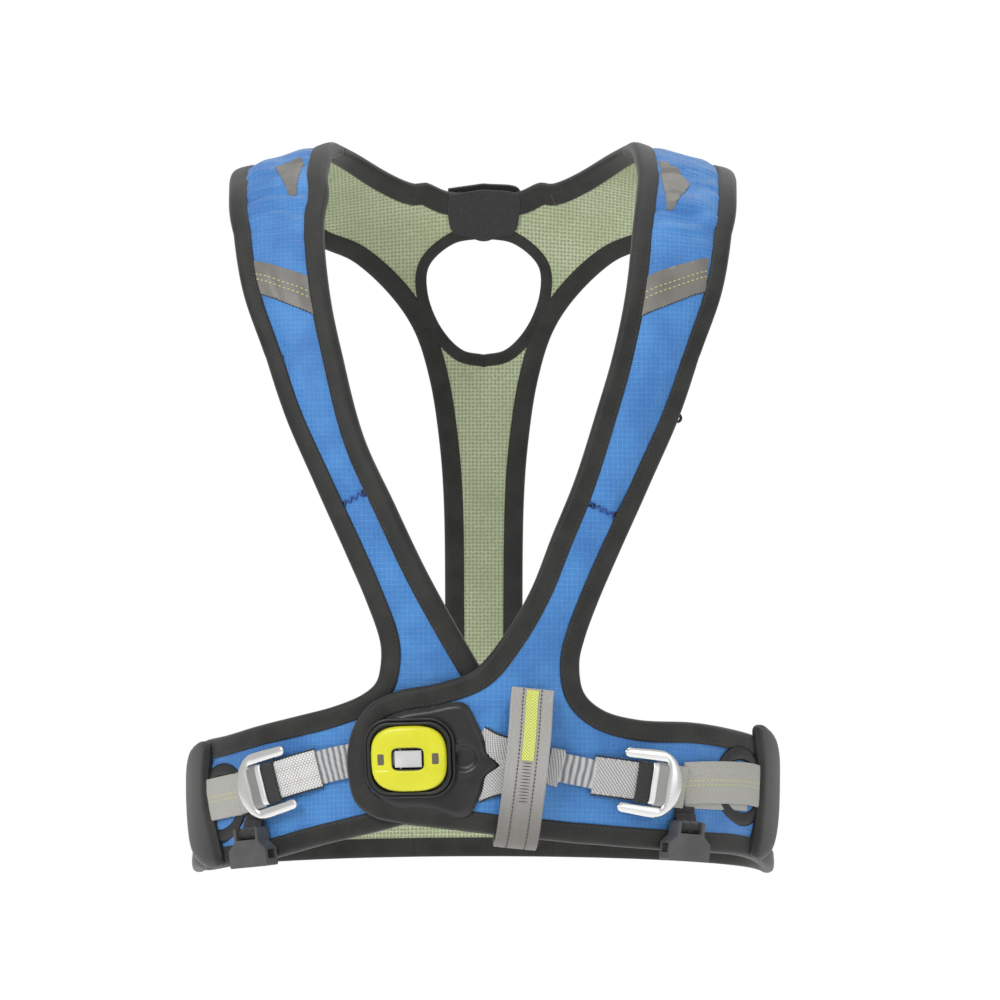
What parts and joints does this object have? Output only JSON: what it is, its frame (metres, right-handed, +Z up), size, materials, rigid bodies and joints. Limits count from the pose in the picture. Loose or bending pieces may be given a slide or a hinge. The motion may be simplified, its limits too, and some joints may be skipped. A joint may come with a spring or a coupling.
{
  "type": "life jacket harness vest",
  "caption": "Slim padded chest-harness life jacket: bound ripstop yoke with Y-back, buckled front flap, adjustable belt webbing, tether loop and crotch-strap sockets.",
  "frame": {"origin": "the torso's axis at the height of the chest belt, midway between the front and back of the form", "axes": "+Z up along the torso, -Y is the wearer's front, +X the wearer's left"},
  "size_m": [0.3616, 0.2716, 0.4553],
  "materials": {
    "grey_webbing": "woven, faint centre lines",
    "binding_tape": "soft satin binding",
    "cover_fabric": "blue ripstop nylon",
    "foam": "closed-cell foam",
    "lining_mesh": "olive spacer mesh",
    "black_plastic": "moulded, fine texture",
    "spring_steel": "drawn wire",
    "black_webbing": "woven",
    "steel": "polished stainless",
    "white_webbing": "coarse woven",
    "dark_plastic": "moulded acetal",
    "reflective_tape": "retroreflective grey",
    "yellow_plastic": "moulded, satin gloss",
    "loop_webbing": "satin edged webbing",
    "loop_insert": "yellow-green woven"
  },
  "bodies": {
    "back_panel": {"back_belt_webbing": "grey_webbing", "back_binding": "binding_tape", "back_cover": "cover_fabric", "back_foam": "foam", "back_lining": "lining_mesh", "hang_loop": "black_webbing", "nape_bridge": "black_webbing", "stem_patch": "black_webbing"},
    "left_front": {"buckle_housing": "black_plastic", "button_guard": "black_plastic", "button_springs": "spring_steel", "flap_plate": "black_plastic", "latch_pin": "steel", "left_arm_binding": "binding_tape", "left_belt_webbing": "grey_webbing", "left_chest_webbing": "white_webbing", "left_cover": "cover_fabric", "left_crotch_tab": "black_webbing", "left_edge_binding": "binding_tape", "left_end_band": "binding_tape", "left_foam": "foam", "left_guide_ring": "black_plastic", "left_inner_webbing": "black_webbing", "left_keeper": "black_webbing", "left_lining": "lining_mesh", "left_reflective_band": "reflective_tape", "left_shoulder_patch": "reflective_tape", "left_webbing_loop": "white_webbing", "soft_loop": "loop_webbing", "soft_loop_insert": "loop_insert", "whistle_loop": "black_webbing"},
    "right_front": {"right_arm_binding": "binding_tape", "right_belt_webbing": "grey_webbing", "right_cover": "cover_fabric", "right_crotch_tab": "black_webbing", "right_elastic": "white_webbing", "right_end_band": "binding_tape", "right_foam": "foam", "right_guide_ring": "black_plastic", "right_inner_webbing": "black_webbing", "right_keeper": "black_webbing", "right_lining": "lining_mesh", "right_neck_binding": "binding_tape", "right_reflective_band": "reflective_tape", "right_shoulder_patch": "reflective_tape", "right_webbing_loop": "white_webbing", "tongue": "steel"},
    "release_button": {"release_button": "yellow_plastic"},
    "latch_lever": {"latch_lever": "steel"},
    "left_adjuster": {"left_adjuster_frame": "steel", "left_adjuster_bar": "steel", "left_adjuster_webbing": "grey_webbing"},
    "right_adjuster": {"right_adjuster_frame": "steel", "right_adjuster_bar": "steel", "right_adjuster_webbing": "grey_webbing"},
    "left_crotch_buckle": {"left_crotch_buckle": "dark_plastic"},
    "right_crotch_buckle": {"right_crotch_buckle": "dark_plastic"}
  },
  "joints": [
    {"name": "left_front_opens", "type": "hinge", "parent": "back_panel", "child": "left_front", "pos_m": [0.045, 0.123, 0], "axis": [0, 0, 1], "range_deg": [0, 35]},
    {"name": "right_front_opens", "type": "hinge", "parent": "back_panel", "child": "right_front", "pos_m": [-0.045, 0.123, 0], "axis": [0, 0, 1], "range_deg": [-35, 0]},
    {"name": "button_press", "type": "slide", "parent": "left_front", "child": "release_button", "axis": [0.1561, 0.9871, 0.035], "range_m": [0, 0.0025], "stiffness_N_per_m": 600, "deforming": ["button_springs"]},
    {"name": "latch_lifts", "type": "hinge", "parent": "left_front", "child": "latch_lever", "pos_m": [-0.0482, -0.13421, 0.01099], "axis": [0.037, 0.0296, -0.9989], "range_deg": [0, 12.1]},
    {"name": "left_adjuster_tilts", "type": "hinge", "parent": "left_front", "child": "left_adjuster", "pos_m": [0.10136, -0.10967, -0.00534], "axis": [-0.1501, -0.0381, -0.9879], "range_deg": [0, 16]},
    {"name": "right_adjuster_tilts", "type": "hinge", "parent": "right_front", "child": "right_adjuster", "pos_m": [-0.13104, -0.0931, -0.00742], "axis": [-0.2466, 0.145, 0.9582], "range_deg": [0, 16]},
    {"name": "left_crotch_buckle_swings", "type": "hinge", "parent": "left_front", "child": "left_crotch_buckle", "pos_m": [0.12219, -0.09762, -0.03232], "axis": [-0.8518, -0.5132, 0.1051], "range_deg": [0, 60]},
    {"name": "right_crotch_buckle_swings", "type": "hinge", "parent": "right_front", "child": "right_crotch_buckle", "pos_m": [-0.13878, -0.08623, -0.03693], "axis": [-0.7839, 0.6083, -0.1247], "range_deg": [0, 60]}
  ],
  "couplings": [
    {"joint": "right_front_opens", "follows": "left_front_opens", "ratio": -1},
    {"joint": "latch_lifts", "follows": "button_press", "rad_per_m": 84}
  ]
}
